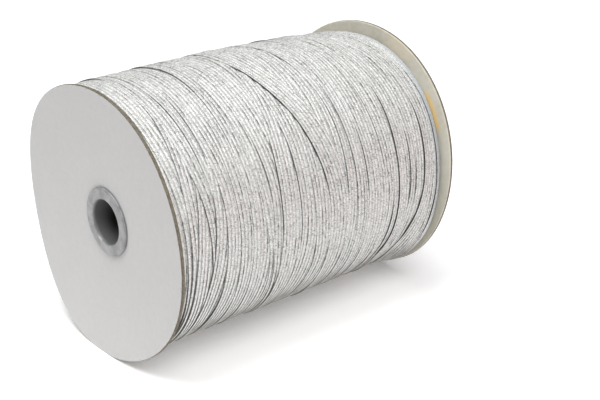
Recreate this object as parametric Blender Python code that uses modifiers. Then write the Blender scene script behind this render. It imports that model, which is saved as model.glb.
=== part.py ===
"""Roll of flat silver elastic on a card spool that lies on its side.

Metres, +Z up. The spool's axis runs along X, with the open face of the near flange towards -X. The origin is
on the surface that the spool lies on, under the middle of the whole roll.
"""

import math

import bpy
import numpy as np

# The card spool: two discs on a tube.
FLANGE_RADIUS = 0.0520
FLANGE_HOLE = 0.0095
BOARD = 0.0015              # thickness of the flanges' card
BOARD_EDGE = 0.0003         # worn corner of the card's cut rim
WIDTH_AT_HUB = 0.1225       # between the flanges' inner faces, where the hubs hold them
TUBE_OUTSIDE = 0.0117
TUBE_INSIDE = 0.0095
REST_FLAT_DEPTH = 0.00035   # how far the card's rim is pressed flat where the spool lies

# The winding pushes the flanges outwards at their rims, and the card is a little out of true.
CLAMPED_RADIUS = 0.0136     # the hub's lip holds the card flat up to here
NEAR_BOW = 0.0043
FAR_BOW = 0.0025
BOW_POWER = 1.6
NEAR_WARP = (
    # waves round the rim, height, angle of a crest in degrees (0 at +Y, 90 at the top)
    (1, 0.0006, 252),
    (2, 0.0013, 84),
    (3, 0.0008, 48),
)
FAR_WARP = (
    # waves round the rim, height, angle of a crest in degrees
    (2, 0.0015, 120),
)

# The plastic hub in each flange.
LIP_RADIUS = 0.0132
LIP_THICKNESS = 0.0008
LIP_EDGE = 0.0004
MOUTH_RADIUS = 0.0095       # where the lip's flat ring turns into the bore
MOUTH_DEPTH = 0.0012
MOUTH_STEPS = 5
BORE_RADIUS = 0.0084
SLEEVE_RADIUS = 0.0092
SLEEVE_DEPTH = 0.0080       # from the card's outer face to the sleeve's inner end

# The wound elastic.
BAND_WIDTH = 0.0075         # of a turn that shows beside the next one over it
BAND_CROWN = 0.0007         # how far a band's face stands above the groove beside it
BAND_SHOULDER = 0.15        # share of a band's width from its groove to its flat face
BAND_UNEVEN = 0.3           # how much the bands' visible widths differ
WANDER = 0.0008             # how far a turn strays along the axis on its way round
LUMP = 0.00038              # how far a turn stands high or low where turns lie over each other
WAVE_SHARES = (1.0, 0.5)    # sizes of a turn's wave of one period and of its wave of two
LEAST_WAVE = 0.4            # the smallest wave, as a share of the largest
FLANGE_HOLD = 0.04          # share of the width by each flange where turns lie straight
OUTER_TURNS = (0.8, 0.9)    # from where to where the turns loosen, as shares of the flange's radius
WINDING_SEED = 7

GAP = 0.0003                # between pieces that touch
MERGE_DISTANCE = 0.00001
FLANGE_STEPS = 72
HUB_STEPS = 32
TUBE_STEPS = 40
WINDING_STEPS = 60
SMOOTH_ANGLE = math.radians(35)

AXIS_HEIGHT = FLANGE_RADIUS - REST_FLAT_DEPTH

# The wound form along the axis, from the near flange to the far one.
WOUND_FORM = (
    # share of the width, radius, how far its middle lies above the spool's axis
    (0.00, 0.0497, 0.0012),
    (0.05, 0.0503, 0.0012),
    (0.25, 0.0506, 0.0014),
    (0.50, 0.0508, 0.0013),
    (0.75, 0.0502, 0.0007),
    (0.90, 0.0492, 0.0001),
    (0.96, 0.0484, 0.0000),
    (1.00, 0.0470, 0.0000),
)

# Rings of points on the flat of each card disc, as shares of the way from its clamped part to its rim.
CARD_RINGS = (0.0, 0.28, 0.55, 0.80)

PAPER = (0.62, 0.61, 0.60)
BEIGE_BOARD = (0.58, 0.54, 0.46)
GREY_PLASTIC = (0.33, 0.33, 0.34)
BROWN_CARD = (0.36, 0.31, 0.24)
SILVER = (0.78, 0.79, 0.79)


def clear_scene():
    """Remove what is in the scene."""
    for item in list(bpy.data.objects):
        bpy.data.objects.remove(item, do_unlink=True)


def new_collection(name):
    """A collection of that name in the scene."""
    collection = bpy.data.collections.new(name)
    bpy.context.scene.collection.children.link(collection)
    return collection


def finish(name, colour, roughness, metallic):
    """A plain finish for one sub-part."""
    material = bpy.data.materials.new(name)
    material.use_nodes = True
    shader = material.node_tree.nodes["Principled BSDF"]
    shader.inputs["Base Color"].default_value = (*colour, 1.0)
    shader.inputs["Roughness"].default_value = roughness
    shader.inputs["Metallic"].default_value = metallic
    return material


def turned(outline, steps):
    """The mesh of a closed outline of (radius, height) points turned about Z with Screw."""
    count = len(outline)
    points = [(radius, 0.0, height) for radius, height in outline]
    edges = [(index, (index + 1) % count) for index in range(count)]
    mesh = bpy.data.meshes.new("outline")
    mesh.from_pydata(points, edges, [])
    profile = bpy.data.objects.new("outline", mesh)
    bpy.context.scene.collection.objects.link(profile)
    screw = profile.modifiers.new("turn", "SCREW")
    screw.axis = "Z"
    screw.steps = steps
    screw.render_steps = steps
    screw.use_merge_vertices = True
    screw.merge_threshold = MERGE_DISTANCE
    depsgraph = bpy.context.evaluated_depsgraph_get()
    result = bpy.data.meshes.new_from_object(profile.evaluated_get(depsgraph))
    bpy.data.objects.remove(profile, do_unlink=True)
    return result


def lay_down(mesh, rule, outward):
    """Lay a turned mesh along X. The rule moves its points.

    A point's height becomes its place along X, outwards times the height, and the rule, which takes and gives
    (along, radius, angle), shifts it from there. The angle is 0 at +Y and a quarter turn at +Z. Where outward
    is -1 the mesh is mirrored, so its faces are turned round again.
    """
    place = np.empty(len(mesh.vertices) * 3)
    mesh.vertices.foreach_get("co", place)
    place = place.reshape(-1, 3)
    radius = np.hypot(place[:, 0], place[:, 1])
    angle = np.arctan2(place[:, 1], place[:, 0])
    along, radius = rule(outward * place[:, 2], radius, angle)
    laid = np.stack((along, radius * np.cos(angle), radius * np.sin(angle)), axis=1)
    mesh.vertices.foreach_set("co", laid.ravel())
    if outward < 0:
        mesh.flip_normals()
    mesh.update()


def add_part(name, mesh, material, collection, axis):
    """Put a mesh in the scene as one sub-part, smooth but for its sharp corners."""
    part = bpy.data.objects.new(name, mesh)
    mesh.name = name
    mesh.materials.clear()
    mesh.materials.append(material)
    mesh.shade_smooth()
    mesh.set_sharp_from_angle(angle=SMOOTH_ANGLE)
    collection.objects.link(part)
    part.parent = axis
    return part


def bow(radius, angle, rim_bow, warp):
    """How far the card stands outwards: nothing under the hub's lip, most at the rim.

    The bow grows with a power of the share of the way to the rim. Each row of the warp adds a wave round the
    rim that fades towards the hub with the square of that share.
    """
    share = np.clip((radius - CLAMPED_RADIUS) / (FLANGE_RADIUS - CLAMPED_RADIUS), 0.0, None)
    waves = 0.0
    for count, height, crest in warp:
        waves = waves + height * np.cos(count * (angle - math.radians(crest)))
    return rim_bow * share**BOW_POWER + share**2 * waves


def reach(rim_bow, warp):
    """How far a flange's outermost point stands from the spool's middle, along the axis."""
    angle = np.arange(FLANGE_STEPS) * 2 * math.pi / FLANGE_STEPS
    return WIDTH_AT_HUB / 2 + BOARD + bow(FLANGE_RADIUS - BOARD_EDGE, angle, rim_bow, warp).max()


def flange_mesh(outward, rim_bow, warp):
    """A card disc with a hole, its cut rim worn at the corners, bowed outwards."""
    rings = [CLAMPED_RADIUS + share * (FLANGE_RADIUS - CLAMPED_RADIUS) for share in CARD_RINGS]
    inner_face = [(FLANGE_HOLE, 0.0)] + [(radius, 0.0) for radius in rings]
    inner_face.append((FLANGE_RADIUS - BOARD_EDGE, 0.0))
    rim = [(FLANGE_RADIUS, BOARD_EDGE), (FLANGE_RADIUS, BOARD - BOARD_EDGE)]
    outer_face = [(radius, BOARD) for radius, _ in reversed(inner_face)]
    mesh = turned((inner_face + rim + outer_face)[::-1], FLANGE_STEPS)

    def rule(along, radius, angle):
        return along + outward * (WIDTH_AT_HUB / 2 + bow(radius, angle, rim_bow, warp)), radius

    lay_down(mesh, rule, outward)
    return mesh


def hub_mesh(outward):
    """A bushing: a flat lip on the card, a rounded mouth and a sleeve through the card into the tube."""
    back = GAP
    front = GAP + LIP_THICKNESS
    corner = [(LIP_RADIUS, front - LIP_EDGE), (LIP_RADIUS - LIP_EDGE, front)]
    mouth = []
    for turn in np.linspace(0, math.pi / 2, MOUTH_STEPS + 1):
        across = BORE_RADIUS + (MOUTH_RADIUS - BORE_RADIUS) * (1 - math.sin(turn))
        mouth.append((across, front - MOUTH_DEPTH * (1 - math.cos(turn))))
    sleeve = [(BORE_RADIUS, -SLEEVE_DEPTH), (SLEEVE_RADIUS, -SLEEVE_DEPTH), (SLEEVE_RADIUS, back)]
    outline = [(LIP_RADIUS, back)] + corner + mouth + sleeve
    mesh = turned(outline[::-1], HUB_STEPS)

    def rule(along, radius, angle):
        return along + outward * (WIDTH_AT_HUB / 2 + BOARD), radius

    lay_down(mesh, rule, outward)
    return mesh


def tube_mesh():
    """The card tube that the elastic is wound on, between the flanges."""
    half = WIDTH_AT_HUB / 2 - GAP
    outline = [(TUBE_OUTSIDE, half), (TUBE_OUTSIDE, -half), (TUBE_INSIDE, -half), (TUBE_INSIDE, half)]
    mesh = turned(outline, TUBE_STEPS)
    lay_down(mesh, lambda along, radius, angle: (along, radius), 1)
    return mesh


def band_edges(rng):
    """Where the outer bands' grooves lie across the width: even bands, each drawn wider or narrower."""
    count = round(WIDTH_AT_HUB / BAND_WIDTH)
    widths = 1 + BAND_UNEVEN * rng.uniform(-1, 1, count)
    return np.concatenate(([0.0], np.cumsum(widths) / widths.sum()))


def turn_waves(rng, count, size):
    """For each groove, the heights and the starting angles of its waves of one and of two periods a turn."""
    heights = [share * size * rng.uniform(LEAST_WAVE, 1, count) for share in WAVE_SHARES]
    starts = [rng.uniform(0, 2 * math.pi, count) for _ in WAVE_SHARES]
    return list(zip(heights, starts))


def wave_height(across, angle, waves):
    """The sum of a turn's sines at an angle, blended in a straight line from groove to groove."""
    grooves = len(waves[0][0]) - 1
    place = np.clip(across, 0, 1) * grooves
    low = np.minimum(place.astype(int), grooves - 1)
    part = place - low
    total = 0.0
    for period, (height, start) in enumerate(waves, 1):
        before = height[low] * np.sin(period * angle + start[low])
        after = height[low + 1] * np.sin(period * angle + start[low + 1])
        total = total + before * (1 - part) + after * part
    return total


def winding_mesh():
    """The wound form: bands side by side round the tube, lumpy where turns lie over each other.

    The turned outline has a groove at each band's edge and a flat face on each band. Each groove strays along
    the axis, and each band stands high or low, by waves round the axis that fade out at the flanges, where
    the winding's ends take the flanges' bow. The outer turns' middle lies above the spool's axis.
    """
    rng = np.random.default_rng(WINDING_SEED)
    edges = band_edges(rng)
    form_at, form_radius, form_lift = np.array(WOUND_FORM).T
    half = WIDTH_AT_HUB / 2 - GAP

    outline = []
    for start, end in zip(edges[:-1], edges[1:]):
        for share, height in ((0, -BAND_CROWN), (BAND_SHOULDER, 0), (1 - BAND_SHOULDER, 0)):
            across = start + share * (end - start)
            radius = np.interp(across, form_at, form_radius) + height
            outline.append((radius, half * (2 * across - 1)))
    outline.append((form_radius[-1] - BAND_CROWN, half))
    bore_radius = TUBE_OUTSIDE + GAP
    rings = [CLAMPED_RADIUS + share * (FLANGE_RADIUS - CLAMPED_RADIUS) for share in CARD_RINGS]
    far_end = [(radius, half) for radius in reversed(rings)] + [(bore_radius, half)]
    near_end = [(radius, -half) for radius, _ in reversed(far_end)]
    mesh = turned((outline + far_end + near_end)[::-1], WINDING_STEPS)

    stray = turn_waves(rng, len(edges), WANDER)
    lump = turn_waves(rng, len(edges), LUMP)

    def rule(along, radius, angle):
        across = (along / half + 1) / 2
        inner, outer = (share * FLANGE_RADIUS for share in OUTER_TURNS)
        loose = np.clip((radius - inner) / (outer - inner), 0, 1)
        free = loose * np.clip(np.minimum(across, 1 - across) / FLANGE_HOLD, 0, 1)
        near_shift = -bow(radius, angle, NEAR_BOW, NEAR_WARP) * (1 - across)
        far_shift = bow(radius, angle, FAR_BOW, FAR_WARP) * across
        lift = loose * np.interp(across, form_at, form_lift) * np.sin(angle)
        along = along + near_shift + far_shift + free * wave_height(across, angle, stray)
        return along, radius + lift + free * wave_height(across, angle, lump)

    lay_down(mesh, rule, 1)
    return mesh


def rest_cutter(collection):
    """A block with its top on the surface that the spool lies on. It presses both rims flat."""
    size = 4 * FLANGE_RADIUS
    bpy.ops.mesh.primitive_cube_add(size=size, location=(0, 0, -size / 2))
    cutter = bpy.context.object
    cutter.name = "surface_under_rims"
    cutter.hide_render = True
    cutter.display_type = "WIRE"
    for owner in list(cutter.users_collection):
        owner.objects.unlink(cutter)
    collection.objects.link(cutter)
    return cutter


def build():
    """Make every sub-part of the roll."""
    clear_scene()
    parts = new_collection("elastic_roll")
    cutters = new_collection("cutters")
    axis = bpy.data.objects.new("spool_axis", None)
    axis_middle = (reach(NEAR_BOW, NEAR_WARP) - reach(FAR_BOW, FAR_WARP)) / 2
    axis.location = (axis_middle, 0, AXIS_HEIGHT)
    parts.objects.link(axis)

    paper = finish("white_paper_on_card", PAPER, 0.8, 0.0)
    board = finish("beige_board", BEIGE_BOARD, 0.85, 0.0)
    plastic = finish("grey_plastic", GREY_PLASTIC, 0.45, 0.0)
    card = finish("brown_card", BROWN_CARD, 0.9, 0.0)
    elastic = finish("silver_elastic", SILVER, 0.4, 0.6)

    near = add_part("flange_near", flange_mesh(-1, NEAR_BOW, NEAR_WARP), paper, parts, axis)
    far = add_part("flange_far", flange_mesh(1, FAR_BOW, FAR_WARP), board, parts, axis)
    add_part("hub_near", hub_mesh(-1), plastic, parts, axis)
    add_part("hub_far", hub_mesh(1), plastic, parts, axis)
    add_part("core_tube", tube_mesh(), card, parts, axis)
    add_part("winding", winding_mesh(), elastic, parts, axis)

    cutter = rest_cutter(cutters)
    for flange in (near, far):
        cut = flange.modifiers.new("rest_flat", "BOOLEAN")
        cut.operation = "DIFFERENCE"
        cut.solver = "EXACT"
        cut.object = cutter


build()
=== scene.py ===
import math

import bpy
import numpy as np
from mathutils import Matrix, Vector


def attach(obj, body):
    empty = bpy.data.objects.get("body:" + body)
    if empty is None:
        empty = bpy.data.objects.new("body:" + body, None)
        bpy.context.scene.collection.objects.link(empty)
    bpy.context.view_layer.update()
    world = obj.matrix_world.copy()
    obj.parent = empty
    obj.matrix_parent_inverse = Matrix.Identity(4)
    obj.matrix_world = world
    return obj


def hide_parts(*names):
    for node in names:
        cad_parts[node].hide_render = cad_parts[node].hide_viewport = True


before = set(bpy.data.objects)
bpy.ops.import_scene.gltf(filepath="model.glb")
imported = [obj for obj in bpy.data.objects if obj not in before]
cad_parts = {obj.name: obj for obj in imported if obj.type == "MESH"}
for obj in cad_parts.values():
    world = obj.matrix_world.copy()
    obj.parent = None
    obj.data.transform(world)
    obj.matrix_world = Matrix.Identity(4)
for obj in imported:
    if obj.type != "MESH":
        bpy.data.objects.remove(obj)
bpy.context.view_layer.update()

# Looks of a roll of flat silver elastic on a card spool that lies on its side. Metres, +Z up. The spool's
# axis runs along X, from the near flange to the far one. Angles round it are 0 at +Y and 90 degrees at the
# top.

# The spool, as its solids have it.
AXIS_MIDDLE = 0.001322
AXIS_HEIGHT = 0.05165
FLANGE_RADIUS = 0.0520
FLANGE_HOLE = 0.0095
BOARD = 0.0015
WIDTH_AT_HUB = 0.1225
TUBE_OUTSIDE = 0.0117
TUBE_INSIDE = 0.0095
CLAMPED_RADIUS = 0.0136
BOW_POWER = 1.6
NEAR_BOW = (0.0043, ((1, 0.0006, 252), (2, 0.0013, 84), (3, 0.0008, 48)))
FAR_BOW = (0.0025, ((2, 0.0015, 120),))
LIP_RADIUS = 0.0132
LIP_THICKNESS = 0.0008
MOUTH_RADIUS = 0.0095
MOUTH_DEPTH = 0.0012
BORE_RADIUS = 0.0084
SLEEVE_RADIUS = 0.0092
SLEEVE_DEPTH = 0.0080
GAP = 0.0003                # between pieces
CARD_STEPS = 240            # steps round a flange, a hub and the tube
HUB_STEPS = 128
TUBE_STEPS = 96

# The colour of the paper on the cards' outer faces. Then the places of old glue and a pale stain on the far
# card, and of a painted highlight on the near hub's mouth.
PAPER = (0.508, 0.503, 0.499)
GLUE = (0.0655, -0.0420, 0.0780)
STAIN = (0.0655, -0.0197, 0.0985)
HIGHLIGHT_SPOT = (-0.0618, 0.0045, 0.0434)

# The wound form: share of the width, radius, how far its middle lies above the spool's axis. The width is the
# one between the cards at FORM_RADIUS.
FORM_RADIUS = 0.05
WOUND_FORM = np.array((
    (0.00, 0.0497, 0.0012),
    (0.05, 0.0503, 0.0012),
    (0.25, 0.0506, 0.0014),
    (0.50, 0.0508, 0.0013),
    (0.75, 0.0502, 0.0007),
    (0.90, 0.0492, 0.0001),
    (0.96, 0.0484, 0.0000),
    (1.00, 0.0470, 0.0000),
))

# Low in front, and higher up beside the near flange, the grooves between the ribs are darker and wider and
# the crowns paler. This is the angle where that is strongest, how many degrees it reaches, how many more it
# reaches at the near flange, and the length along the roll on which it fades.
RIB_CONTRAST_ANGLE = 221
RIB_CONTRAST_REACH = 21
RIB_CONTRAST_NEAR_REACH = 24
RIB_CONTRAST_LENGTH = 0.08

# Where the last turns, pushed up against the far flange, start to get painted shade and a bluish painted
# reflection, and the side towards the table with painted shade: from, to, in degrees. Both have soft edges.
BESIDE = 0.0595
BESIDE_EDGE = 0.0035
UNDERSIDE_SHADE = (214, 325)
UNDERSIDE_SHADE_EDGE = 10

# How far the last turns sag beside the far flange, where round the axis, and over how many degrees.
SAG = 0.0026
SAG_ANGLE = 222
SAG_REACH = 33

# The elastic: six ribs side by side.
ELASTIC_WIDTH = 0.0096
RIBS = 6
ELASTIC_THICKNESS = 0.00078
GROOVE_DEPTH = 0.00042
RIB_POINTS = (0.0, 0.12, 0.5, 0.88)
UNDERSIDE_POINTS = 5
STITCH = 0.0005             # length of one stitch
RUN_RADIUS = 0.05           # radius at which the length along the elastic is measured

# How it is laid.
STEPS = 160                 # steps in one turn
CELL = 0.00025              # width of a cell of the pile's height field
FIELD_START = -0.069        # where that field starts, and how long it is
FIELD_LENGTH = 0.138
SAMPLES = 33                # points across the underside of a turn
PILE_DEPTH = 0.0020         # from the wound form down to where the laid turns start
LAID_RADIUS = 0.049         # where the cards hold the laid turns in
BURIED_RADIUS = 0.046       # where they hold the buried ones in
HIDDEN_TURNS = 19           # turns laid first, under the outer ones
PIECE_TURNS = 18            # turns in one strip
PACKED = 0.55               # share of its thickness by which a turn raises the pile
SOFTNESS = 0.78             # how far the elastic takes the shape under it, 0 for a stiff strip
STRAY = 0.00008             # how far a turn strays from its line
BEHIND = (225, 80)          # from, to, in degrees: the side where the turns cross at random

# The outer turns in the order in which they are laid. First come the places of a turn's near edge where it
# goes over the top and down the front: the angle in degrees and millimetres from EDGE_ZERO. A third number is
# the place of its far edge, where the turn is folded up against the flange. Then come the stretches where the
# near edge stands off from what lies under it: from, to, and how far as a share of EDGE_LIFT.
EDGE_ZERO = -0.0645
EDGE_LIFT = 0.00042
OUTER_TURNS = (
    (((90, 0.2), (150, 0.4), (215, 0.8)), ((195, 215, 0.3),)),
    (((85, 1.3), (100, 1.4), (120, 1.7), (140, 2.7), (150, 3.3), (165, 3.6), (180, 3.6), (200, 4.0),
      (215, 4.5)), ((95, 125, 0.4), (198, 218, 0.6))),
    (((85, 8.4), (100, 8.5), (112, 8.9), (120, 8.7), (127, 8.0), (137, 7.2), (148, 6.4), (157, 5.6),
      (165, 5.2), (180, 5.0), (190, 4.6), (215, 4.6)), ((112, 150, 0.5), (185, 215, 0.4))),
    (((85, 10.5), (120, 12.5), (145, 12.6), (150, 12.0), (156, 10.4), (164, 8.8), (172, 7.6), (180, 6.9),
      (187, 6.3), (215, 6.2)), ((145, 177, 0.5),)),
    (((85, 8.8), (100, 9.0), (115, 9.5), (125, 10.0), (138, 10.8), (146, 11.4), (152, 12.2), (158, 12.8),
      (168, 13.2), (175, 13.6), (215, 13.6)), ((148, 192, 0.8),)),
    (((85, 13.6), (105, 14.5), (115, 15.1), (121, 15.6), (133, 16.0), (145, 16.5), (155, 17.5),
      (215, 18.5)), ((108, 143, 0.8),)),
    (((85, 17.0), (130, 19.5), (141, 20.0), (146, 18.9), (150, 18.0), (160, 16.8), (165, 16.3), (172, 15.4),
      (180, 14.2), (186, 13.4), (195, 12.1), (205, 11.2), (215, 10.6)), ((158, 204, 0.7),)),
    (((85, 18.4), (112, 19.0), (133, 19.5), (140, 20.0), (146, 20.7), (155, 21.0), (162, 20.8), (170, 20.4),
      (183, 19.6), (200, 18.8), (208, 17.8), (217, 17.2)), ((110, 138, 0.6), (150, 198, 0.4),
      (198, 218, 0.9))),
    (((90, 24.9), (120, 25.0), (130, 25.5), (150, 25.7), (165, 26.0), (215, 25.4)), ((128, 180, 0.4),)),
    (((85, 29.3), (95, 30.2), (120, 30.6), (132, 30.8), (142, 31.1), (152, 31.4), (170, 31.4), (215, 31.2)),
      ((86, 112, 0.8), (115, 140, 0.5), (152, 170, 0.3))),
    (((85, 34.5), (120, 35.5), (140, 36.2), (158, 36.5), (165, 36.8), (173, 37.5), (180, 38.2), (193, 39.5),
      (215, 41.0)), ((198, 212, 0.6),)),
    (((85, 38.0), (92, 39.5), (98, 40.0), (112, 39.6), (125, 39.8), (138, 40.0), (148, 40.5), (157, 40.9),
      (162, 41.2), (172, 40.7), (182, 40.5), (190, 41.0), (198, 41.9), (208, 43.0), (215, 43.3)),
      ((140, 165, 0.8), (190, 202, 0.4))),
    (((85, 51.5), (100, 51.2), (107, 50.9), (118, 50.0), (130, 48.4), (140, 47.2), (147, 46.0), (155, 45.2),
      (165, 44.6), (180, 44.4), (215, 44.3)), ((104, 120, 0.4), (142, 182, 0.9), (198, 217, 0.6))),
    (((85, 55.5), (105, 54.3), (125, 54.0), (150, 53.7), (165, 53.3), (182, 53.3), (215, 52.0)),
      ((140, 190, 0.9),)),
    (((90, 61.0), (127, 59.9), (170, 59.8), (180, 60.0), (188, 60.4), (196, 61.5), (205, 60.9),
      (215, 60.6)), ((185, 215, 0.5),)),
    (((90, 52.5), (105, 54.2), (110, 55.0), (117, 57.0), (128, 59.9), (138, 62.5), (145, 63.6), (150, 64.6),
      (157, 65.6), (163, 66.3), (170, 67.2), (215, 67.9)), ((104, 168, 1.0), (170, 178, 0.5))),
    (((85, 72.2), (93, 75.0), (107, 76.5), (120, 77.5), (140, 77.8), (155, 77.0), (170, 76.3), (215, 76.0)),
      ((88, 110, 0.6), (130, 172, 0.7))),
    (((90, 81.0), (172, 81.0), (215, 81.8)), ((130, 166, 0.7),)),
    (((90, 86.3), (165, 86.4), (215, 87.3)), ((145, 176, 0.8),)),
    (((90, 93.5), (130, 94.7), (150, 95.4), (165, 95.7), (185, 96.0), (215, 95.3)), ((128, 166, 0.7),)),
    (((90, 96.5), (120, 99.0), (140, 99.9), (165, 100.4), (200, 100.3), (215, 98.8)), ((185, 212, 0.8),)),
    (((85, 98.5), (100, 101.0), (115, 102.3), (132, 103.4), (150, 103.5), (160, 103.0), (190, 103.0),
      (200, 103.2), (210, 101.8), (217, 99.5)), ((132, 218, 1.0),)),
    (((90, 106.0), (98, 107.0), (110, 108.8), (130, 110.0), (158, 110.5), (166, 109.8), (182, 109.8),
      (192, 108.5), (215, 107.5)), ((154, 186, 0.9),)),
    (((90, 109.5), (115, 114.0), (138, 115.4), (155, 114.5), (165, 113.5), (175, 112.9), (195, 112.3),
      (215, 109.5)), ((170, 186, 0.5),)),
    (((90, 112.5), (105, 115.0), (120, 117.2), (135, 118.6), (145, 119.0), (155, 118.7), (165, 118.2),
      (175, 117.3), (182, 116.5), (190, 115.3), (198, 113.5), (205, 112.0), (217, 109.5)),
      ((142, 214, 1.0),)),
    (((90, 117.0, 126.5), (110, 121.0, 129.0), (122, 123.0, 129.5), (135, 123.6, 129.5),
      (150, 124.0, 129.0), (180, 123.0, 128.5), (200, 121.0, 128.0), (215, 119.0, 127.0)),
      ((118, 136, 0.4),)),
    (((90, 120.0, 128.5), (115, 124.0, 129.5), (130, 125.6, 130.0), (140, 125.9, 130.0),
      (150, 126.1, 129.8), (185, 126.0, 129.4), (190, 125.5, 129.2), (197, 124.5, 129.0),
      (203, 123.5, 128.6), (215, 121.0, 127.8)), ((138, 210, 1.0),)),
)

rng = np.random.default_rng(11)


# ---- meshes ----------------------------------------------------------------------------------------------

def grid_faces(rows, columns, close_rows, close_columns):
    """Four-sided faces of a grid of points numbered row by row, as one array."""
    row = np.arange(rows if close_rows else rows - 1)
    column = np.arange(columns if close_columns else columns - 1)
    row, column = (part.ravel() for part in np.meshgrid(row, column, indexing="ij"))
    next_row, next_column = (row + 1) % rows, (column + 1) % columns
    corners = (row * columns + column, next_row * columns + column,
               next_row * columns + next_column, row * columns + next_column)
    return np.stack(corners, axis=1)


def add_surface(name, points, close_rows=False, close_columns=True, values=None):
    """A smooth mesh from a (rows, columns, 3) grid of points. The open ends of a closed section get caps.

    values maps an attribute's name to its (rows, columns) numbers. Where the faces enclose less than nothing,
    as the sum of the wedges between each face and the grid's middle tells, the grid is turned over.
    """
    rows, columns = points.shape[:2]
    faces = grid_faces(rows, columns, close_rows, close_columns)
    corner = (points.reshape(-1, 3) - points.reshape(-1, 3).mean(axis=0))[faces]
    across = np.cross(corner[:, 2] - corner[:, 0], corner[:, 3] - corner[:, 1])
    if close_columns and (corner[:, 0] * across).sum() < 0:
        flipped = {key: numbers[:, ::-1] for key, numbers in (values or {}).items()}
        return add_surface(name, points[:, ::-1], close_rows, close_columns, flipped)
    sizes = np.full(len(faces), 4)
    corners = faces.ravel()
    if close_columns and not close_rows:
        first = np.arange(columns)
        last = (rows - 1) * columns + np.arange(columns)[::-1]
        corners = np.concatenate((corners, first, last))
        sizes = np.concatenate((sizes, (columns, columns)))
    mesh = bpy.data.meshes.new(name)
    mesh.vertices.add(rows * columns)
    mesh.vertices.foreach_set("co", points.astype(np.float32).ravel())
    mesh.loops.add(len(corners))
    mesh.loops.foreach_set("vertex_index", corners.astype(np.int32))
    mesh.polygons.add(len(sizes))
    mesh.polygons.foreach_set("loop_start", np.concatenate(((0,), np.cumsum(sizes)[:-1])).astype(np.int32))
    mesh.update(calc_edges=True)
    for key, numbers in (values or {}).items():
        written = mesh.attributes.new(key, "FLOAT", "POINT").data
        written.foreach_set("value", numbers.astype(np.float32).ravel())
    mesh.shade_smooth()
    piece = bpy.data.objects.new(name, mesh)
    bpy.context.scene.collection.objects.link(piece)
    return piece


def dress(piece, material, slot, *nodes):
    """Give a piece its material, hang it on the root body and hide the solids that it stands for."""
    piece.data.materials.append(material)
    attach(piece, "root")
    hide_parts(*nodes)


def round_axis(along, radius, angle):
    """Points from their place along X, their distance from the spool's axis and their angle round it."""
    return np.stack((along, radius * np.cos(angle), AXIS_HEIGHT + radius * np.sin(angle)), axis=-1)


def smoother(count, spread, closed):
    """A square array that blurs a row of numbers with a bell curve. Each of its rows adds up to 1."""
    index = np.arange(count)
    apart = np.abs(index[:, None] - index[None, :])
    if closed:
        apart = np.minimum(apart, count - apart)
    weight = np.exp(-0.5 * (apart / spread) ** 2)
    return weight / weight.sum(axis=1, keepdims=True)


def blurred(line, spread):
    """A long line of numbers blurred with a bell curve, its ends held."""
    reach = int(3 * spread)
    bell = np.exp(-0.5 * (np.arange(-reach, reach + 1) / spread) ** 2)
    return np.convolve(np.pad(line, reach, mode="edge"), bell / bell.sum(), mode="valid")


# ---- the spool's form ------------------------------------------------------------------------------------

def bow(radius, angle, rule):
    """How far the card stands outwards: the rim's bow times a power of the share of the way to the rim.

    Each row of the warp adds a wave round the rim that fades towards the hub with the square of that share.
    """
    rim_bow, warp = rule
    share = np.clip((radius - CLAMPED_RADIUS) / (FLANGE_RADIUS - CLAMPED_RADIUS), 0.0, None)
    waves = 0.0
    for count, height, crest in warp:
        waves = waves + height * np.cos(count * (angle - math.radians(crest)))
    return rim_bow * share**BOW_POWER + share**2 * waves


def card_face(outward, radius, angle):
    """Place along X of a flange's inner face."""
    rule = NEAR_BOW if outward < 0 else FAR_BOW
    return AXIS_MIDDLE + outward * (WIDTH_AT_HUB / 2 + bow(radius, angle, rule))


def wound_radius(along, angle):
    """Radius of the wound form's outside at a place along X and an angle.

    It is read from the table of rings. Low in front, the last turns sag beside the far flange.
    """
    near = card_face(-1, FORM_RADIUS, angle)
    far = card_face(1, FORM_RADIUS, angle)
    share = (along - near) / (far - near)
    at, radius, lift = WOUND_FORM.T
    beside = np.clip((share - 0.86) / 0.1, 0, 1)
    around = (np.degrees(angle) % 360 - SAG_ANGLE) / SAG_REACH
    sag = SAG * beside**2 * (3 - 2 * beside) * np.exp(-around**2)
    return np.interp(share, at, radius) + np.interp(share, at, lift) * np.sin(angle) + sag


# ---- the elastic -----------------------------------------------------------------------------------------

def hidden_path():
    """Shares of the width from the far flange to the near one, by uneven steps, in four steps to a turn."""
    knots = 4 * HIDDEN_TURNS
    step = rng.uniform(0.4, 1.6, knots)
    place = 1 - np.concatenate(((0.0,), np.cumsum(step) / step.sum()))
    at = np.linspace(0, knots, HIDDEN_TURNS * STEPS, endpoint=False)
    return np.interp(at, np.arange(knots + 1), place)


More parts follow.
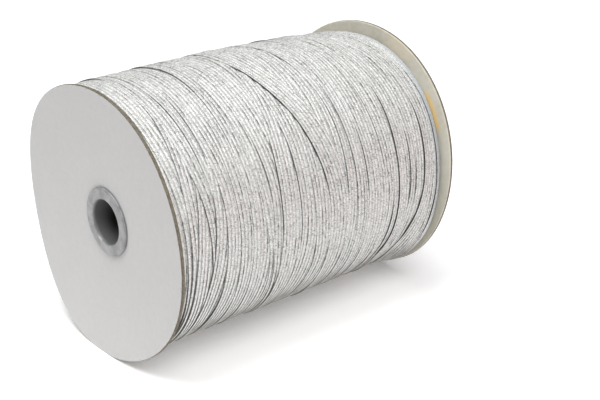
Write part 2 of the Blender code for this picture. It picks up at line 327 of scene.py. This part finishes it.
def elastic_path():
    """The elastic's middle line along X, its width, how far its near edge is lifted, and its angle, by steps.

    The hidden turns go once from flange to flange. The outer turns follow their table where they show, and
    pass from one to the next behind. A blur rounds the knots, and the flanges hold the edges in.
    """
    shares = hidden_path()
    count = len(shares) + len(OUTER_TURNS) * STEPS
    angle = 2 * math.pi * np.arange(count) / STEPS
    lowest = card_face(-1, LAID_RADIUS, angle) + GAP
    highest = card_face(1, LAID_RADIUS, angle) - GAP
    start = lowest[:len(shares)]
    hidden = start + shares * (highest[:len(shares)] - ELASTIC_WIDTH - start)

    knots = [(turn + degrees / 360, near, far[0] if far else near + 1000 * ELASTIC_WIDTH)
             for turn, (row, _) in enumerate(OUTER_TURNS) for degrees, near, *far in row]
    knot_at, knot_near, knot_far = np.array(knots).T
    at = np.arange(len(OUTER_TURNS) * STEPS) / STEPS
    near = np.concatenate((hidden, EDGE_ZERO + np.interp(at, knot_at, knot_near) / 1000))
    far = np.concatenate((hidden + ELASTIC_WIDTH, EDGE_ZERO + np.interp(at, knot_at, knot_far) / 1000))
    near, far = blurred(near, STEPS / 60), blurred(far, STEPS / 60)

    behind = (np.degrees(angle) % 360 > BEHIND[0]) | (np.degrees(angle) % 360 < BEHIND[1])
    wander = blurred(rng.normal(0, 1, count), STEPS / 16)
    lifted = np.where(behind, np.clip(wander / wander.std() - 0.3, 0, 0.8), 0)
    for turn, (_, stretches) in enumerate(OUTER_TURNS):
        for first, last, much in stretches:
            begin = len(shares) + turn * STEPS
            lifted[begin + round(first * STEPS / 360):begin + round(last * STEPS / 360)] = much
    stray = blurred(rng.normal(0, 1, count), STEPS / 14)
    width = far - near
    middle = (near + far) / 2 + STRAY * stray / stray.std()
    middle = np.clip(middle, lowest + width / 2, highest - width / 2)
    return middle, width, blurred(lifted, STEPS / 90), angle


def section():
    """The elastic's section as shares of its width across, heights above its underside and ribs.

    The top has six ribs: across each, the height is its crest less the groove's depth times the distance from
    the crest, with a soft top and a sharp groove. The outer ribs are a little lower, and the sides are round.
    The ribs count from 0 at the near edge to 6 at the far one. Numbers outside that stand for the sides and
    the underside.
    """
    at = np.concatenate([np.array(RIB_POINTS) + rib for rib in range(RIBS)] + [np.array((RIBS,))])
    part = at % 1
    crest = (4 * part * (1 - part)) ** 0.7
    across = at / RIBS - 0.5
    droop = 1 - 0.22 * np.abs(2 * across) ** 8
    height = (ELASTIC_THICKNESS - GROOVE_DEPTH * (1 - crest)) * droop
    underside = np.linspace(0.47, -0.47, UNDERSIDE_POINTS)
    across = np.concatenate(((-0.504,), across, (0.504,), underside))
    side = 0.15 * ELASTIC_THICKNESS
    height = np.concatenate(((side,), height, (side,), 0 * underside))
    rib = np.concatenate(((-0.12,), at, (RIBS + 0.12, RIBS + 0.3), 0 * underside[1:-1] - 0.3, (-0.3,)))
    return across, height, rib


def read_rows(field, along):
    """Values of a (steps, cells) field at places along X, row by row, in straight lines between cells."""
    place = np.clip((along - FIELD_START) / CELL, 0, field.shape[1] - 1.001)
    low = place.astype(int)
    part = place - low
    row = np.arange(len(along))[:, None] % field.shape[0]
    return field[row, low] * (1 - part) + field[row, low + 1] * part


def settled(found, offset, earlier):
    """The underside of a turn that is laid on a pile of the heights found under it.

    Across the turn it is a mix of the straight line that fits the pile best and of the pile itself, softened.
    Along the turn it is blurred, as a strip under tension is, and goes on from the turn before.
    """
    slope = (found * offset).sum(axis=1, keepdims=True) / (offset**2).sum()
    line = found.mean(axis=1, keepdims=True) + slope * offset
    rest = (1 - SOFTNESS) * line + SOFTNESS * found @ smoother(SAMPLES, 2.6, False).T
    earlier = rest if earlier is None else earlier
    fade_in = np.exp(-np.arange(STEPS) / (STEPS / 20))[:, None]
    rest = rest + (earlier[-1] - rest[0]) * fade_in
    rest = (smoother(2 * STEPS, STEPS / 60, False) @ np.concatenate((earlier, rest)))[STEPS:]
    return rest + (earlier[-1] - rest[0]) * fade_in


def lay_elastic(path, width):
    """Heights of the elastic's underside, turn by turn, each turn resting on the pile that it finds.

    The top of a turn becomes the pile's, but the turns are wound tight, so that each presses into what it
    lies on. Returns the undersides, their offsets across, what has to be added to them for the wound form,
    and the height of the pile's softened top.
    """
    cells = int(FIELD_LENGTH / CELL)
    column = FIELD_START + CELL * np.arange(cells)
    turn_angle = 2 * math.pi * np.arange(STEPS) / STEPS
    form = wound_radius(column[None, :], turn_angle[:, None])
    pile = form - PILE_DEPTH
    offset = np.linspace(-0.5, 0.5, SAMPLES)
    top = PACKED * ELASTIC_THICKNESS * (1 - 0.5 * np.abs(2 * offset) ** 6)
    row = np.arange(STEPS)[:, None]
    undersides = []
    rest = None
    for turn in range(len(path) // STEPS):
        middle = path[turn * STEPS:(turn + 1) * STEPS, None]
        wide = width[turn * STEPS:(turn + 1) * STEPS, None]
        rest = settled(read_rows(pile, middle + wide * offset), offset, rest)
        undersides.append(rest)
        place = ((column - middle) / wide + 0.5) * (SAMPLES - 1)
        under_it = (place >= 0) & (place <= SAMPLES - 1)
        place = np.clip(place, 0, SAMPLES - 1.001)
        low = place.astype(int)
        crown = rest + top
        height = crown[row, low] * (1 - place + low) + crown[row, low + 1] * (place - low)
        pile = np.where(under_it, np.maximum(pile, height), pile)
    pile = pile + (1 - PACKED) * ELASTIC_THICKNESS
    level = smoother(STEPS, STEPS / 20, True) @ pile @ smoother(cells, 0.003 / CELL, False).T
    skin = smoother(STEPS, 1.5, True) @ pile @ smoother(cells, 0.0006 / CELL, False).T
    return np.concatenate(undersides), offset, form - level, skin + form - level


def tone_masks(along, turn_angle):
    """Masks, 0 to 1: rib contrast, painted shade and reflection by the far flange, painted shade below."""
    degrees = np.degrees(turn_angle) % 360
    from_near = (along - EDGE_ZERO) / RIB_CONTRAST_LENGTH
    reach = RIB_CONTRAST_REACH + RIB_CONTRAST_NEAR_REACH * np.clip(1 - 1.8 * from_near, 0, 1)
    rib_contrast = np.exp(-((degrees - RIB_CONTRAST_ANGLE) / reach) ** 2) * np.clip(1 - 0.35 * from_near, 0, 1)
    beside = np.clip((along - BESIDE) / BESIDE_EDGE, 0, 1)
    shaded_underside = (np.clip((degrees - UNDERSIDE_SHADE[0]) / UNDERSIDE_SHADE_EDGE, 0, 1)
             * np.clip((UNDERSIDE_SHADE[1] - degrees) / UNDERSIDE_SHADE_EDGE, 0, 1))
    return {"rib_contrast": rib_contrast, "beside": beside, "shaded_underside": shaded_underside}


def elastic_pieces(material):
    """The laid elastic as strips of some turns each: its section carried along its middle line."""
    path, width, lifted, angle = elastic_path()
    undersides, offset, correction, skin = lay_elastic(path, width)
    across, height, rib = section()
    edge = np.where(rib > -0.2, np.clip(1 - np.maximum(rib, 0) / 1.4, 0, 1) ** 2, 0)
    place = np.clip(across + 0.5, 0, 1) * (len(offset) - 1.001)
    low = place.astype(int)
    for number, start in enumerate(range(0, len(path), PIECE_TURNS * STEPS)):
        part = slice(start, start + PIECE_TURNS * STEPS + 1)
        under = undersides[part]
        along = path[part, None] + width[part, None] * across
        turn_angle = angle[part, None] + 0 * along
        radius = under[:, low] * (1 - place + low) + under[:, low + 1] * (place - low) + height
        radius = radius + read_rows(np.roll(correction, -(start % STEPS), axis=0), along)
        above = read_rows(np.roll(skin, -(start % STEPS), axis=0), along) - radius
        radius = radius + EDGE_LIFT * lifted[part, None] * edge
        along = np.clip(along, card_face(-1, radius, turn_angle) + GAP / 2,
                        card_face(1, radius, turn_angle) - GAP / 2)
        values = {"run": turn_angle * RUN_RADIUS, "rib": rib + 0 * along,
                  # How far a point lies below the pile's softened top; the material paints this as shade in
                  # the creases.
                  "crease_shade": np.clip(above / ELASTIC_THICKNESS, 0, 2),
                  # Where a near edge stands off, the material paints a dark shadow along it.
                  "edge_shadow": lifted[part, None] * (rib < 1.2), **tone_masks(along, turn_angle)}
        points = round_axis(along, radius, turn_angle)
        piece = add_surface(f"elastic_strip_{number + 1}", points, values=values)
        dress(piece, material, "silver_elastic", "winding")


def buried_turns(material):
    """The turns under the laid ones as one closed form, from the tube out to where the laid turns start."""
    share = np.linspace(0, 1, 60)
    angle = 2 * math.pi * np.arange(TUBE_STEPS) / TUBE_STEPS
    angle_grid, share_grid = np.meshgrid(angle, share, indexing="ij")
    near = card_face(-1, BURIED_RADIUS, angle_grid) + GAP
    far = card_face(1, BURIED_RADIUS, angle_grid) - GAP
    along = near + share_grid * (far - near)
    radius = wound_radius(along, angle_grid) - PILE_DEPTH
    inside = np.linspace(0.0, 1.0, 8)[1:-1]
    bore = TUBE_OUTSIDE + GAP
    ring = radius[:, -1:] + (bore - radius[:, -1:]) * inside
    far_side = card_face(1, ring, angle[:, None]) - GAP
    near_ring = bore + (radius[:, :1] - bore) * inside
    near_side = card_face(-1, near_ring, angle[:, None]) + GAP
    tube = AXIS_MIDDLE + (WIDTH_AT_HUB / 2 - GAP) * np.array((1, -1))[None, :] + 0 * angle[:, None]
    along = np.concatenate((along, far_side, tube, near_side), axis=1)
    radius = np.concatenate((radius, ring, bore + 0 * tube, near_ring), axis=1)
    points = round_axis(along, radius, np.broadcast_to(angle[:, None], along.shape))
    piece = add_surface("buried_turns", points, close_rows=True)
    dress(piece, material, "silver_elastic", "winding")


# ---- the spool's pieces ----------------------------------------------------------------------------------

def turned(name, outline, steps, outward, rule, values):
    """A closed outline of (radius, height) turned round the spool's axis.

    The height is outwards from the card's inner face. A rule for the bow shifts each point outwards. What
    would lie under the floor is pressed flat.
    """
    radius, height = (np.array(part)[None, :] for part in zip(*outline))
    angle = 2 * math.pi * np.arange(steps)[:, None] / steps
    shift = bow(radius, angle, rule) if rule else 0.0 * angle
    radius = radius + 0 * angle
    along = AXIS_MIDDLE + outward * (WIDTH_AT_HUB / 2 + height + shift)
    points = round_axis(along, radius, angle + 0 * radius)
    points[..., 2] = np.maximum(points[..., 2], 0.0)
    given = {key: np.array(numbers)[None, :] + 0 * radius for key, numbers in values.items()}
    return add_surface(name, points, close_rows=True, values=given)


def flange(name, outward, rule, material, slot):
    """A card disc: flat faces in rings, and a cut rim that is worn round at its corners."""
    rings = np.concatenate(((FLANGE_HOLE, CLAMPED_RADIUS), np.linspace(0.018, FLANGE_RADIUS - 0.0005, 15)))
    turn = np.linspace(0, math.pi / 2, 4)
    corner = 0.00035
    outer_corner = [(FLANGE_RADIUS - corner * (1 - math.sin(a)), BOARD - corner * (1 - math.cos(a)))
                    for a in turn]
    inner_corner = [(radius, BOARD - height) for radius, height in reversed(outer_corner)]
    cut = [(FLANGE_RADIUS + 0.00003, BOARD * share) for share in (0.62, 0.5, 0.38)]
    outline = ([(radius, BOARD) for radius in rings] + outer_corner + cut + inner_corner
               + [(radius, 0.0) for radius in rings[::-1]])
    values = {"ring": [radius for radius, _ in outline], "layer": [height / BOARD for _, height in outline]}
    piece = turned(name + "_card", outline, CARD_STEPS, outward, rule, values)
    dress(piece, material, slot, name)


def hub(name, outward, material):
    """A bushing: a flat lip with a rounded corner, a rounded mouth, and a sleeve through the card."""
    back = BOARD + GAP
    front = BOARD + GAP + LIP_THICKNESS
    corner = 0.0007
    chamfer = 0.0002
    turn = np.linspace(0, math.pi / 2, 6)
    lip = [(LIP_RADIUS - corner * (1 - math.cos(a)), front - corner * (1 - math.sin(a))) for a in turn]
    ring = [(radius, front) for radius in np.linspace(LIP_RADIUS - corner, MOUTH_RADIUS, 5)[1:-1]]
    turn = np.linspace(0, math.pi / 2, 14)
    mouth = [(BORE_RADIUS + (MOUTH_RADIUS - BORE_RADIUS) * (1 - math.sin(a)),
              front - MOUTH_DEPTH * (1 - math.cos(a))) for a in turn]
    end = BOARD - SLEEVE_DEPTH
    sleeve = [(BORE_RADIUS, (front - MOUTH_DEPTH) * 0.5 + end * 0.5), (BORE_RADIUS, end + chamfer),
              (BORE_RADIUS + chamfer, end), (SLEEVE_RADIUS - chamfer, end), (SLEEVE_RADIUS, end + chamfer),
              (SLEEVE_RADIUS, back)]
    outline = [(LIP_RADIUS, back)] + lip + ring + mouth + sleeve
    values = {"ring": [radius for radius, _ in outline]}
    piece = turned(name + "_bushing", outline, HUB_STEPS, outward, None, values)
    dress(piece, material, "grey_plastic", name)


def core_tube(material):
    """The card tube between the flanges."""
    half = WIDTH_AT_HUB / 2 - GAP
    rings = 24
    along = np.concatenate((np.linspace(-half, half, rings), np.linspace(half, -half, rings)))
    radius = np.concatenate((np.full(rings, TUBE_OUTSIDE), np.full(rings, TUBE_INSIDE)))
    angle = 2 * math.pi * np.arange(TUBE_STEPS)[:, None] / TUBE_STEPS
    points = round_axis(AXIS_MIDDLE + along + 0 * angle, radius + 0 * angle, angle + 0 * along)
    dress(add_surface("core_tube_card", points, close_rows=True), material, "brown_card", "core_tube")


# ---- materials -------------------------------------------------------------------------------------------

class Wire:
    """An output of a node. Sums and products written with it add Math nodes to its finish."""

    def __init__(self, finish, socket):
        self.finish = finish
        self.socket = socket

    def math(self, operation, *others):
        """The result of a Math node on this number and others."""
        return self.finish.node("ShaderNodeMath", {"operation": operation}, dict(enumerate((self, *others))))

    def __add__(self, other):
        return self.math("ADD", other)

    def __radd__(self, other):
        return self.math("ADD", other)

    def __sub__(self, other):
        return self.math("SUBTRACT", other)

    def __rsub__(self, other):
        return self.finish.node("ShaderNodeMath", {"operation": "SUBTRACT"}, {0: other, 1: self})

    def __mul__(self, other):
        return self.math("MULTIPLY", other)

    def __rmul__(self, other):
        return self.math("MULTIPLY", other)

    def __pow__(self, other):
        return self.math("POWER", other)

    def __abs__(self):
        return self.math("ABSOLUTE")

    def part(self):
        """The fraction left over from the whole number below."""
        return self.math("FRACT")

    def floor(self):
        """The whole number below."""
        return self.math("FLOOR")

    def between(self, low, high):
        """0 at low, 1 at high, with a smooth rise."""
        settings = {"interpolation_type": "SMOOTHSTEP", "clamp": True}
        return self.finish.node("ShaderNodeMapRange", settings,
                                {"Value": self, "From Min": low, "From Max": high})


class Finish:
    """One material, whose nodes are added by one method. Its constants are named as the shader's sockets."""

    def __init__(self, name, **constants):
        self.material = bpy.data.materials.new(name)
        self.material.use_nodes = True
        self.tree = self.material.node_tree
        self.shader = self.tree.nodes["Principled BSDF"]
        for key, value in constants.items():
            self.shader.inputs[key.replace("_", " ")].default_value = value

    def node(self, kind, settings=None, inputs=None, out=0):
        """An output of a new node with these settings, its inputs linked to wires or set to constants."""
        made = self.tree.nodes.new(kind)
        for key, value in (settings or {}).items():
            setattr(made, key, value)
        for key, value in (inputs or {}).items():
            if isinstance(value, Wire):
                self.tree.links.new(value.socket, made.inputs[key])
            else:
                made.inputs[key].default_value = value
        return Wire(self, made.outputs[out])

    def place(self):
        """Object coordinates."""
        return self.node("ShaderNodeTexCoord", out="Object")

    def attribute(self, name):
        """A number that the piece has at each of its points."""
        return self.node("ShaderNodeAttribute", {"attribute_name": name}, out="Fac")

    def vector(self, x, y, z):
        """Three numbers as a place for a texture."""
        return self.node("ShaderNodeCombineXYZ", None, {0: x, 1: y, 2: z})

    def distance(self, where, point):
        """How far a place lies from a fixed point."""
        return self.node("ShaderNodeVectorMath", {"operation": "DISTANCE"}, {0: where, 1: point}, out="Value")

    def noise(self, where, scale, detail=2.0, roughness=0.5):
        """Cloudy noise about 0.5."""
        inputs = {"Vector": where, "Scale": scale, "Detail": detail, "Roughness": roughness}
        return self.node("ShaderNodeTexNoise", None, inputs)

    def mix(self, share, first, second):
        """A colour part of the way from the first to the second."""
        first, second = ((*c, 1) if isinstance(c, tuple) else c for c in (first, second))
        return self.node("ShaderNodeMix", {"data_type": "RGBA"}, {0: share, 6: first, 7: second}, out=2)

    def set(self, key, wire):
        """Link a wire to one of the shader's sockets."""
        self.tree.links.new(wire.socket, self.shader.inputs[key])

    def bump(self, height, distance, strength):
        """Give the surface a fine relief."""
        inputs = {"Height": height, "Distance": distance, "Strength": strength}
        self.set("Normal", self.node("ShaderNodeBump", None, inputs))


def silver_elastic():
    """Braided elastic covered with silver thread.

    Each rib is two rows of slanted stitches with a fine parting, each row with its own start. A stitch has
    its own tone, and the rows have long streaks. Between the ribs the thread thins in dashes over dark
    rubber, which painted shade darkens further in the grooves. Low in front and beside the near flange the
    grooves are wider and darker and the crowns paler. Under an edge that stands off a shadow is painted, and
    painted shade fills the creases. Crumbs of dark and painted glints lie all over. The turns beside the far
    flange get painted shade and a bluish painted reflection, and the lower side painted shade and a duller
    finish.
    """
    finish = Finish("silver_elastic", Specular_IOR_Level=0.35)
    rib = finish.attribute("rib")
    run = finish.attribute("run")
    crease_shade = finish.attribute("crease_shade")
    place = finish.place()
    side = abs(rib.part() - 0.5) * 2
    half_rib = (rib * 2).floor()
    start = finish.node("ShaderNodeTexWhiteNoise", {"noise_dimensions": "1D"}, {"W": half_rib})
    slant = side * 0.6 + run * (1 / STITCH) + start * 7.0
    stitch = slant.floor()
    seam = (abs(slant.part() - 0.5) * 2).between(0.55, 1.0)
    cell = finish.vector(stitch, half_rib, 0.0)
    shade = finish.node("ShaderNodeTexWhiteNoise", {"noise_dimensions": "3D"}, {"Vector": cell})
    streak = finish.noise(finish.vector(run * 110.0, half_rib * 3.7, 0.0), 1.0, 3.0, 0.6)
    between_ribs = (rib + 0.5).floor() * 5.3
    worn = finish.noise(finish.vector(run * 45.0, between_ribs, 2.0), 1.0, 2.0, 0.5).between(0.42, 0.60)
    dash = finish.noise(finish.vector(run * 430.0, between_ribs, 7.0), 1.0, 1.0, 0.5).between(0.48, 0.58)
    # Low in front and beside the near flange: wider and darker grooves, dark edges and paler crowns.
    rib_contrast = finish.attribute("rib_contrast")
    # Dark rubber between the ribs, darkened further as painted shade in the grooves.
    groove = side.between(0.55 - 0.25 * rib_contrast, 0.88 - 0.26 * rib_contrast)
    groove = groove * (0.26 + 0.19 * worn + 0.55 * (worn * dash + rib_contrast).math("MINIMUM", 1.0))
    parting = side.between(0.16, 0.02)
    # A painted shadow where an edge stands off, and dark edges where the grooves are darker.
    flank = rib.between(0.21 + 0.15 * rib_contrast, 0.05) * finish.attribute("edge_shadow").math("MAXIMUM", rib_contrast)
    crumb = finish.noise(place, 2700, 2.0, 0.8)
    dark_crumb = crumb.between(0.47, 0.35)
    # Bright specks painted in as glints of the silver thread.
    painted_glint = crumb.between(0.56, 0.68)
    silver = finish.mix(shade ** 0.6, (0.52, 0.527, 0.513), (0.68, 0.687, 0.668))
    silver = finish.mix(streak.between(0.62, 0.35) * 0.2, silver, (0.32, 0.32, 0.305))
    silver = finish.mix(shade.between(0.25, 0.10) * 0.3, silver, (0.17, 0.17, 0.16))
    silver = finish.mix(parting * 0.38, silver, (0.24, 0.24, 0.225))
    # Paler crowns low in front and beside the near flange.
    silver = finish.mix(rib_contrast * 0.4, silver, (0.90, 0.915, 0.905))
    silver = finish.mix(seam * 0.06, silver, (0.24, 0.24, 0.225))
    # Painted glints.
    silver = finish.mix(painted_glint * 0.7, silver, (0.92, 0.92, 0.91))
    # Painted shade deepens the dark rubber in the grooves.
    silver = finish.mix(groove * 0.9, silver, (0.075, 0.074, 0.068))
    silver = finish.mix(dark_crumb * 0.7, silver, (0.035, 0.035, 0.032))
    # Painted shadow along edges that stand off.
    silver = finish.mix(flank * 0.95, silver, (0.025, 0.025, 0.024))
    # Painted shade in the creases between turns.
    silver = finish.mix(crease_shade.between(0.6, 1.5) * 0.35, silver, (0.028, 0.029, 0.028))
    # Painted shade with a bluish painted reflection on the turns beside the far flange.
    silver = finish.mix(finish.attribute("beside") * 0.5, silver, (0.27, 0.31, 0.35))
    # Painted shade on the lower side, towards the table; the same mask makes it rougher and less metallic.
    lower_side = finish.attribute("shaded_underside")
    dull = lower_side * (0.45 + 0.35 * streak.between(0.6, 0.4))
    silver = finish.mix(dull, silver, (0.20, 0.195, 0.175))
    finish.set("Base Color", silver)
    finish.set("Roughness", 0.50 + 0.22 * shade + 0.25 * lower_side)
    finish.set("Metallic", 0.28 - 0.28 * lower_side)
    finish.bump(crumb, 0.00005, 0.4)
    return finish.material


def shaded_buried_elastic():
    """The elastic deep between the turns, coloured dark as painted shade."""
    finish = Finish("shaded_buried_elastic", Metallic=0.3, Roughness=0.6)
    patch = finish.noise(finish.place(), 900, 2.0)
    # Painted shade: the buried turns, seen only through gaps, are coloured dark.
    finish.set("Base Color", finish.mix(patch, (0.05, 0.05, 0.05), (0.20, 0.20, 0.19)))
    return finish.material


def card(name, paper, bare):
    """Card with a face of that paper, beige inside with old glue and a stain, and a cut rim of brown fibres.

    bare is how far round the rim's inner corner the beige goes, as a share of the card's thickness.
    """
    finish = Finish(name, Roughness=0.85, Specular_IOR_Level=0.25)
    ring = finish.attribute("ring")
    layer = finish.attribute("layer")
    place = finish.place()
    fibre = finish.noise(place, 420, 4.0, 0.65)
    cloud = finish.noise(place, 45, 3.0, 0.5)
    fleck = finish.noise(place, 1700, 1.0, 0.6).between(0.33, 0.27)
    beige = finish.mix(fibre.between(0.3, 0.7), (0.43, 0.408, 0.335), (0.49, 0.468, 0.40))
    beige = finish.mix(cloud.between(0.35, 0.7) * 0.5, beige, (0.55, 0.53, 0.46))
    stain = (finish.distance(place, STAIN) + cloud * 0.008).between(0.014, 0.007)
    beige = finish.mix(stain * 0.3, beige, (0.62, 0.52, 0.36))
    smear = (finish.distance(place, GLUE) + fibre * 0.004).between(0.0125, 0.0085)
    smear = smear * ring.between(0.0488, 0.0484)
    beige = finish.mix(smear * 0.75, beige, (0.68, 0.46, 0.16))
    dim, bright, dull = (tuple(c * share for c in paper) for share in (0.97, 1.02, 0.965))
    face = finish.mix(fibre.between(0.25, 0.75), dim, bright)
    face = finish.mix(cloud.between(0.35, 0.7) * 0.5, face, dull)
    face = finish.mix(fleck * 0.25, face, (0.33, 0.28, 0.22))
    plies = finish.noise(finish.vector(layer * 9.0, ring * 60.0, 0.0), 1.0, 2.0)
    streak = finish.noise(place, 900, 3.0, 0.7)
    rim = finish.mix(plies.between(0.35, 0.65), (0.075, 0.064, 0.043), (0.15, 0.133, 0.098))
    rim = finish.mix(streak.between(0.4, 0.65) * 0.6, rim, (0.21, 0.195, 0.165))
    outside = layer.between(0.93, 0.985)
    inside = layer.between(bare, bare / 2)
    colour = finish.mix(inside, rim, beige)
    colour = finish.mix(outside, colour, face)
    nick = (finish.noise(place, 380, 3.0, 0.6) + ring.between(0.0503, 0.0522) * 0.2).between(0.74, 0.80)
    colour = finish.mix(nick * outside * 0.6, colour, (0.28, 0.225, 0.155))
    finish.set("Base Color", colour)
    finish.bump(fibre * 0.6 + streak * (1 - outside) * 0.8, 0.00006, 0.5)
    return finish.material


def grey_plastic():
    """Moulded grey plastic with fine pits and scuffs, its bore darker, and a highlight painted on one mouth.
    """
    finish = Finish("grey_plastic", Roughness=0.42)
    ring = finish.attribute("ring")
    place = finish.place()
    cloud = finish.noise(place, 260, 3.0, 0.5)
    pit = finish.noise(place, 1500, 2.0, 0.6).between(0.38, 0.30)
    scuff = finish.noise(place, 620, 3.0, 0.7).between(0.60, 0.72)
    grey = finish.mix(cloud.between(0.3, 0.7), (0.19, 0.19, 0.193), (0.305, 0.305, 0.31))
    grey = finish.mix(scuff * 0.5, grey, (0.37, 0.37, 0.374))
    grey = finish.mix(pit * 0.6, grey, (0.065, 0.065, 0.065))
    # The bore and the inner part of the mouth are darker.
    grey = finish.mix(ring.between(0.0091, 0.0085), grey, (0.11, 0.11, 0.11))
    # A painted highlight on the near hub's mouth.
    painted_highlight = (finish.distance(place, HIGHLIGHT_SPOT) + cloud * 0.001).between(0.0026, 0.0012)
    mouth = ring.between(0.0086, 0.0089) * ring.between(0.0097, 0.0093)
    grey = finish.mix(mouth * painted_highlight * 0.5, grey, (0.6, 0.6, 0.6))
    finish.set("Base Color", grey)
    finish.bump(cloud * 0.3 + (1 - pit) * 0.5, 0.00006, 0.5)
    return finish.material


def brown_card():
    """Plain brown card with fine fibres."""
    finish = Finish("brown_card", Roughness=0.9)
    place = finish.place()
    fibre = finish.noise(place, 600, 4.0, 0.6)
    colour = finish.mix(fibre.between(0.3, 0.7), (0.26, 0.22, 0.165), (0.38, 0.33, 0.26))
    finish.set("Base Color", colour)
    finish.bump(fibre, 0.00008, 0.5)
    return finish.material


# ---- floor, light, camera --------------------------------------------------------------------------------

def floor():
    """A plain white table that gives off a little light of its own."""
    size = 8.0
    corners = np.array((((-size, -size, 0.0), (size, -size, 0.0)), ((-size, size, 0.0), (size, size, 0.0))))
    ground = add_surface("floor", corners, close_columns=False)
    ground.data.flip_normals()
    finish = Finish("floor", Roughness=0.9, Base_Color=(0.93, 0.93, 0.93, 1),
                    Emission_Color=(1.0, 1.0, 1.0, 1), Emission_Strength=0.22)
    ground.data.materials.append(finish.material)


def area_light(name, place, target, size, power, colour=(1.0, 1.0, 1.0)):
    """A round soft light that faces its target."""
    light = bpy.data.lights.new(name, "AREA")
    light.shape = "DISK"
    light.size = size
    light.energy = power
    light.color = colour
    lamp = bpy.data.objects.new(name, light)
    bpy.context.scene.collection.objects.link(lamp)
    lamp.location = place
    lamp.rotation_euler = (Vector(target) - Vector(place)).to_track_quat("-Z", "Y").to_euler()


def lights():
    """A dim white room, a large soft light above, one high in front and a faint pink one low at the right."""
    world = bpy.data.worlds.new("studio")
    world.use_nodes = True
    background = world.node_tree.nodes["Background"]
    background.inputs["Color"].default_value = (1.0, 1.0, 1.0, 1)
    background.inputs["Strength"].default_value = 0.10
    bpy.context.scene.world = world
    middle = (0.0, 0.0, 0.05)
    area_light("key", (-0.34, 0.13, 1.1), middle, 1.0, 14.2)
    area_light("front", (-0.18, -0.8, 1.0), middle, 0.9, 11.4)
    area_light("pink", (0.75, -0.80, 0.07), middle, 0.4, 1.7, (1.0, 0.38, 0.42))
    bpy.context.scene.view_settings.view_transform = "Standard"


def camera():
    """The camera at the photograph's viewing angle."""
    lens = bpy.data.cameras.new("camera")
    lens.sensor_fit = "HORIZONTAL"
    lens.sensor_width = 36.0
    lens.lens = 74.347
    eye = bpy.data.objects.new("camera", lens)
    bpy.context.scene.collection.objects.link(eye)
    look = Vector((0.593029, 0.696808, -0.403455)).normalized()
    up = Vector((0.257604, 0.310544, 0.914988)).normalized()
    right = look.cross(up).normalized()
    up = right.cross(look)
    turn = Matrix((right, up, -look)).transposed()
    eye.matrix_world = Matrix.Translation((-0.274279, -0.358451, 0.241844)) @ turn.to_4x4()
    bpy.context.scene.camera = eye


def main():
    """Build the roll and its stage."""
    elastic_pieces(silver_elastic())
    buried_turns(shaded_buried_elastic())
    flange("flange_near", -1, NEAR_BOW, card("white_paper", PAPER, 0.08), "white_paper")
    flange("flange_far", 1, FAR_BOW, card("beige_board", PAPER, 0.30), "beige_board")
    plastic = grey_plastic()
    hub("hub_near", -1, plastic)
    hub("hub_far", 1, plastic)
    core_tube(brown_card())
    floor()
    lights()
    camera()


main()
